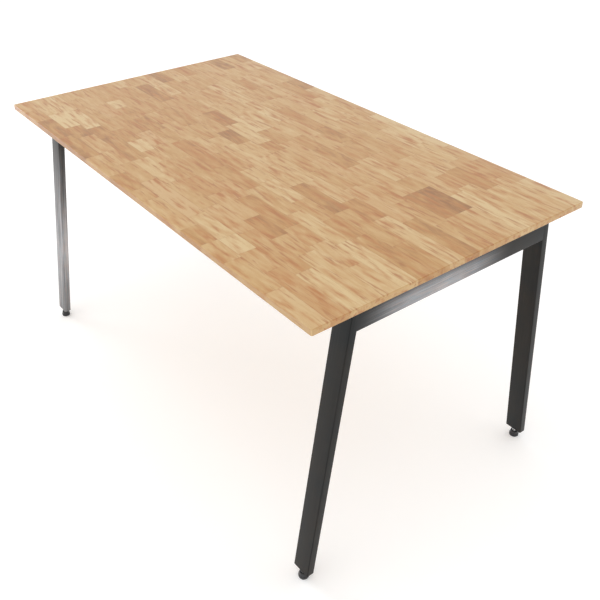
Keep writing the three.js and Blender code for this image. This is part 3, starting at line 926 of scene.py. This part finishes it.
# %% Turning
def spin(profile, sides, bend=lambda angle, r, z: (r, z)):
    """Turns [radius, height] points, from axis to axis, about Z. Returns a closed bmesh."""
    shape = bmesh.new()
    angles = [2 * math.pi * i / sides for i in range(sides)]
    first = shape.verts.new((0, 0, bend(0, *profile[0])[1]))
    last = shape.verts.new((0, 0, bend(0, *profile[-1])[1]))
    rings = []
    for radius, height in profile[1:-1]:
        ring = []
        for angle in angles:
            r, z = bend(angle, radius, height)
            ring.append(shape.verts.new((r * math.cos(angle), r * math.sin(angle), z)))
        rings.append(ring)
    skin(shape, rings)
    for i in range(sides):
        j = (i + 1) % sides
        shape.faces.new((first, rings[0][j], rings[0][i]))
        shape.faces.new((last, rings[-1][i], rings[-1][j]))
    return shape


def stand(shape, low, high, z):
    """Stands a turned shape in the middle of its box, at a height."""
    shape.transform(Matrix.Translation(((low.x + high.x) / 2, (low.y + high.y) / 2, z)))
    return shape


def hexagon_radius(angle, across_flats):
    sixth = math.pi / 3
    return across_flats / 2 / math.cos((angle % sixth) - sixth / 2)


def threaded(pitch, depth, bottom, top):
    """A bend that cuts a helical thread into a rod between two heights."""
    def bend(angle, r, z):
        if not bottom < z < top:
            return r, z
        phase = (z / pitch - angle / (2 * math.pi)) % 1
        fade = min(1.0, (z - bottom) / pitch, (top - z) / pitch)
        return r - depth * fade * abs(2 * phase - 1), z
    return bend


def climb(radius, bottom, top, step):
    """Closely spaced points up a rod, fine enough to carry a thread."""
    return [(radius, bottom + (top - bottom) * t) for t in steps(math.ceil((top - bottom) / step))]


THREAD_PITCH = 1.25 * MM
THREAD_DEPTH = 0.62 * MM
THREAD_STEP = THREAD_PITCH / 6
ROD_RADIUS = 4 * MM
# Slack for comparing two lengths.
HAIR = 1e-9
print("a thread of", round(THREAD_PITCH / MM, 2), "mm pitch")

# %% [markdown]
# The bolts are flanged M8 hexagons. The top corners of the head are turned off in a cone, which
# leaves the curved edges that every hexagon head has. A bevel wouldn't give that curve, so the
# radius at each height is the smaller of the hexagon's and the cone's.

# %% Bolts
BOLT_HEX = 13 * MM
BOLT_HEAD = 5.5 * MM
FLANGE_RADIUS = 8.5 * MM
FLANGE = 1.5 * MM


def bolt_shape(reach):
    top = -BOLT_HEAD - FLANGE
    corner = BOLT_HEX / 2 / math.cos(math.pi / 6)
    cone = [(BOLT_HEX * 0.46, top), (BOLT_HEX * 0.50, top + 0.2 * MM), (corner, top + 1.0 * MM)]
    head = [(0, top + 0.3 * MM), (BOLT_HEX * 0.30, top + 0.3 * MM), (BOLT_HEX * 0.34, top), *cone]
    flange = [(corner, -FLANGE), (FLANGE_RADIUS - 0.6 * MM, -FLANGE + 0.15 * MM),
              (FLANGE_RADIUS, -FLANGE * 0.6), (FLANGE_RADIUS, -0.2 * MM),
              (FLANGE_RADIUS - 0.2 * MM, 0)]
    shank = climb(ROD_RADIUS, 0, reach - MM, THREAD_STEP)
    screwed = threaded(THREAD_PITCH, THREAD_DEPTH, 0.5 * MM, reach - MM)

    def bend(angle, r, z):
        if z <= -FLANGE and r > BOLT_HEX * 0.45 and r <= corner + HAIR:
            return min(r, hexagon_radius(angle, BOLT_HEX)), z
        return screwed(angle, r, z) if r <= ROD_RADIUS else (r, z)

    tip = [(ROD_RADIUS - MM, reach), (0, reach)]
    return spin(head + flange + shank + tip, sides=48, bend=bend)


for end, end_sign, side, _ in CORNERS:
    for spot in ("inner", "outer"):
        node = f"{end}_{side}_{spot}_bolt"
        low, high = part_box(node)
        middle = (low + high) / 2
        length = high.x - low.x
        reach = length - BOLT_HEAD - FLANGE
        seat_x = (low.x if end_sign > 0 else high.x) + end_sign * (BOLT_HEAD + FLANGE)
        shape = bolt_shape(reach)
        shape.transform(Matrix.Translation((seat_x, middle.y, middle.z))
                        @ Matrix.Rotation(end_sign * QUARTER, 4, "Y"))
        make_piece(shape, f"zinc_{node}", zinc, node=node)
print("bolt reach", round(reach / MM, 2), "mm")

# %% [markdown]
# The wood screws have pan heads with a cross recess and a coarse thread that runs to a point.
# The recess could be cut with a Boolean, but pushing in those points of the head's face that
# lie on the cross keeps the mesh closed.

# %% Screws
CROSS_HALF_WIDTH = 0.75 * MM
CROSS_REACH = 2.9 * MM
CROSS_DEPTH = 1.4 * MM
SCREW_PITCH = 2.0 * MM
SCREW_THREAD_DEPTH = 0.7 * MM


def screw_shape(low, high):
    length = high.z - low.z
    head_radius = (high.x - low.x) / 2
    head = 2.8 * MM
    shank = 2.2 * MM
    face = [(0, 0)] + [(head_radius * 0.62 * t, 0) for t in steps(14)[1:]]
    rim = [(head_radius * (0.62 + 0.38 * math.sin(t * QUARTER)),
            head * 0.62 * (1 - math.cos(t * QUARTER))) for t in steps(6)[1:]]
    rod = climb(shank, head, length - 3 * MM, SCREW_PITCH / 10)
    point = [(shank * 0.5, length - 1.5 * MM), (shank * 0.12, length - 0.2 * MM), (0, length)]
    screwed = threaded(SCREW_PITCH, SCREW_THREAD_DEPTH, head + 0.4 * MM, length - 2.6 * MM)

    def bend(angle, r, z):
        x, y = abs(r * math.cos(angle)), abs(r * math.sin(angle))
        if z < 0.05 * MM and min(x, y) < CROSS_HALF_WIDTH and max(x, y) < CROSS_REACH:
            return r, CROSS_DEPTH * (1 - max(x, y) / CROSS_REACH * 0.4)
        return screwed(angle, r, z) if z > head else (r, z)

    shape = spin(face + rim + [(head_radius, head)] + rod + point, sides=64, bend=bend)
    return stand(shape, low, high, low.z)


screw_nodes = sorted(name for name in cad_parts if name.endswith("_screw"))
for node in screw_nodes:
    make_piece(screw_shape(*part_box(node)), f"zinc_{node}", zinc, node=node)
print("screws", len(screw_nodes))

# %% [markdown]
# A foot is three pieces. The end block is a steel plug inside the leg's end with a tapped hole.
# The stud has a rod that screws into it, a hexagon collar for a spanner with a washer face
# above, and a pin below. The pad is moulded and pushed onto the pin. One mesh could show all
# of it, but the stud turns and the pad only goes down with it, so the two are separate pieces
# that ride on different bodies.

# %% Feet
PAD_TOP_RADIUS = 10.5 * MM
PAD_SKIRT = 9 * MM
PAD_EDGE = 1.5 * MM
SOCKET_RADIUS = 4.8 * MM
SOCKET_FLOOR = 7 * MM
PIN_RADIUS = 4.2 * MM
RUNNING_GAP = 0.3 * MM
COLLAR_FACE_RADIUS = 8.5 * MM
COLLAR_FACE = 1.7 * MM
STUD_BORE = 4.3 * MM
BLOCK_CORNER = 1.2 * MM
GROOVE_BELOW_SHOULDER, GROOVE = 3.2 * MM, 0.55 * MM


def arc(middle_r, middle_z, radius, start, stop, count=5):
    """Profile points on a quarter circle, with its angles given in quarters of a turn."""
    turns = [(start + (stop - start) * t) * QUARTER for t in steps(count)]
    return [(middle_r + radius * math.cos(a), middle_z + radius * math.sin(a)) for a in turns]


def pad_shape(low, high):
    radius, height = (high.x - low.x) / 2, high.z - low.z
    under = [(0, 0.6 * MM), (radius * 0.55, 0.6 * MM), (radius * 0.60, 0)]
    foot = arc(radius - PAD_EDGE, PAD_EDGE, PAD_EDGE, -1, 0)
    groove_z = PAD_SKIRT - GROOVE_BELOW_SHOULDER
    groove_cut = [(radius, groove_z - GROOVE), (radius - GROOVE, groove_z - GROOVE * 0.4),
                  (radius - GROOVE, groove_z + GROOVE * 0.4), (radius, groove_z + GROOVE)]
    shoulder = arc(radius - PAD_EDGE, PAD_SKIRT - PAD_EDGE, PAD_EDGE, 0, 0.85)
    crown = arc(PAD_TOP_RADIUS - PAD_EDGE, height - PAD_EDGE, PAD_EDGE, 0, 1)
    socket = [(SOCKET_RADIUS + 0.5 * MM, height), (SOCKET_RADIUS, height - 0.5 * MM),
              (SOCKET_RADIUS, SOCKET_FLOOR), (0, SOCKET_FLOOR)]
    shape = spin(under + foot + groove_cut + shoulder + crown + socket, sides=72)
    return stand(shape, low, high, low.z)


def stud_shape(low, high, pad_top, leg_end):
    collar_bottom, face_top = pad_top + RUNNING_GAP, leg_end - RUNNING_GAP
    collar_top = face_top - COLLAR_FACE
    corner = BOLT_HEX / 2 / math.cos(math.pi / 6)
    pin = [(0, low.z), (PIN_RADIUS - MM, low.z), (PIN_RADIUS, low.z + MM),
           (PIN_RADIUS, collar_bottom)]
    collar = [(BOLT_HEX * 0.47, collar_bottom), (corner, collar_bottom + 0.8 * MM),
              (corner, collar_top)]
    wide, eased = COLLAR_FACE_RADIUS, 0.3 * MM
    face = [(wide - eased, collar_top), (wide, collar_top + eased),
            (wide, face_top - eased), (wide - eased, face_top)]
    rod = climb(ROD_RADIUS, face_top, high.z - MM, THREAD_STEP)
    screwed = threaded(THREAD_PITCH, THREAD_DEPTH, face_top + 0.5 * MM, high.z - MM)

    def bend(angle, r, z):
        in_collar = collar_bottom - HAIR <= z <= collar_top + HAIR
        if in_collar and BOLT_HEX * 0.46 < r <= corner + HAIR:
            return min(r, hexagon_radius(angle, BOLT_HEX)), z
        return screwed(angle, r, z) if z > face_top else (r, z)

    tip = [(ROD_RADIUS - MM, high.z), (0, high.z)]
    shape = spin(pin + collar + face + rod + tip, sides=48, bend=bend)
    return stand(shape, low, high, 0)


def end_block_shape(foot, low, high, side_sign):
    """A drilled plug, leaning with the leg but with its hole upright."""
    lean = -side_sign * math.tan(splay)
    width = high.x - low.x
    depth = (high.y - low.y) - (high.z - low.z) * abs(lean)
    outline = rounded_rectangle(width, depth, BLOCK_CORNER)
    shape = drilled_plate(outline, [circle(0, 0, STUD_BORE)], high.z - low.z)
    half = (high.z - low.z) / 2
    for vert in shape.verts:
        in_hole = math.hypot(vert.co.x, vert.co.y) < STUD_BORE + MM
        vert.co.y += 0 if in_hole else lean * (vert.co.z + half)
    bmesh.ops.translate(shape, verts=shape.verts, vec=(foot.x, foot.y, low.z + half))
    return shape


for end, end_sign, side, side_sign in CORNERS:
    foot, _ = leg_ends(end_sign, side_sign)
    block_node, stud_node, pad_node = (f"{end}_{side}_{part}"
                                       for part in ("leg_end_block", "foot_stud", "foot_pad"))
    block = end_block_shape(foot, *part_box(block_node), side_sign)
    make_bar_piece(block, block_node)
    stud = stud_shape(*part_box(stud_node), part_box(pad_node)[1].z, leg_low.z)
    make_piece(stud, f"zinc_{stud_node}", zinc,
               f"{end}_{side}_stud", stud_node)
    pad = pad_shape(*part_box(pad_node))
    make_piece(pad, f"plastic_{pad_node}", plastic,
               f"{end}_{side}_pad", pad_node)
print("feet done")

# %% [markdown]
# The table stands on a plain pale floor in soft, nearly shadowless light. A few hard lamps
# would throw dark shadows, so a white world does most of the lighting, and the floor glows a
# little of its own to stay pale under the table. Three large soft lights shape the rest: one
# overhead, one far to the left for the dark steel to mirror, and a low one in front that
# lifts the long edge of the top.

# %% Floor and light
FLOOR_SIZE = 40.0
FLOOR_TINT = (0.965, 0.965, 0.96)
FLOOR_GLOW = 0.16
SPECK_TINT, SPECK_SHARE = (0.85, 0.85, 0.85), 0.03


def make_floor():
    paint = Finish("pale_floor", {"Roughness": 0.9, "Emission Color": (1, 1, 1, 1),
                                  "Emission Strength": FLOOR_GLOW})
    speck = paint.noise(paint.place(), scale=60.0, detail=3.0)
    paint.surface("Base Color", paint.blend(speck * SPECK_SHARE, FLOOR_TINT, SPECK_TINT))
    shape = bmesh.new()
    bmesh.ops.create_grid(shape, x_segments=4, y_segments=4, size=FLOOR_SIZE / 2)
    mesh = bpy.data.meshes.new("floor")
    shape.to_mesh(mesh)
    shape.free()
    mesh.materials.append(paint.material)
    floor = bpy.data.objects.new("floor", mesh)
    bpy.context.scene.collection.objects.link(floor)
    floor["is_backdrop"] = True


def add_soft_light(name, place, target, size, power):
    """A round soft light, its size in metres and its power in watts."""
    light = bpy.data.lights.new(name, "AREA")
    light.shape, light.size, light.energy = "DISK", size, power
    lamp = bpy.data.objects.new(name, light)
    lamp.location = place
    lamp.rotation_mode = "QUATERNION"
    lamp.rotation_quaternion = (Vector(target) - Vector(place)).to_track_quat("-Z", "Y")
    bpy.context.scene.collection.objects.link(lamp)


make_floor()
scene = bpy.context.scene
scene.world = bpy.data.worlds.new("studio")
scene.world.use_nodes = True
sky = scene.world.node_tree.nodes["Background"]
sky.inputs["Color"].default_value = (1, 1, 1, 1)
sky.inputs["Strength"].default_value = 0.95
scene.view_settings.view_transform = "Standard"
table_middle = (0, 0, cad_high.z / 2)
add_soft_light("overhead", (0.4, -0.6, 3.6), table_middle, size=2.6, power=6)
add_soft_light("left_window", (-4.2, -1.6, 1.5), table_middle, size=2.2, power=50)
add_soft_light("front_fill", (-1.2, -4.6, 0.9), table_middle, size=6.0, power=36)

# %% [markdown]
# The camera looks down at the table from beyond its front right corner, at the eye height of
# someone standing there. It could be turned until the table sits in the frame, but that would
# change the perspective a little, so a small lens shift does it instead.

# %% Camera
CAMERA_PLACE = Vector((1.5401, -1.0917, 1.5681))
CAMERA_WAY = Vector((-0.65169, 0.50431, -0.56654))
CAMERA_LENS = 46.25
CAMERA_SHIFT = (0.0118, -0.0040)

view = bpy.data.cameras.new("camera")
view.lens, view.sensor_width = CAMERA_LENS, 36.0
view.shift_x, view.shift_y = CAMERA_SHIFT
camera = bpy.data.objects.new("camera", view)
camera.location = CAMERA_PLACE
camera.rotation_mode = "QUATERNION"
camera.rotation_quaternion = CAMERA_WAY.to_track_quat("-Z", "Y")
scene.collection.objects.link(camera)
scene.camera = camera
print("camera height", round(CAMERA_PLACE.z, 3))

# %% [markdown]
# Last, the finished table is measured and its box printed, to set beside the frame's box
# printed at the start, because the looks must not change its size.

# %% Measure and finish
low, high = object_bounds()
print("visual box", [round(v, 4) for v in low], [round(v, 4) for v in high])
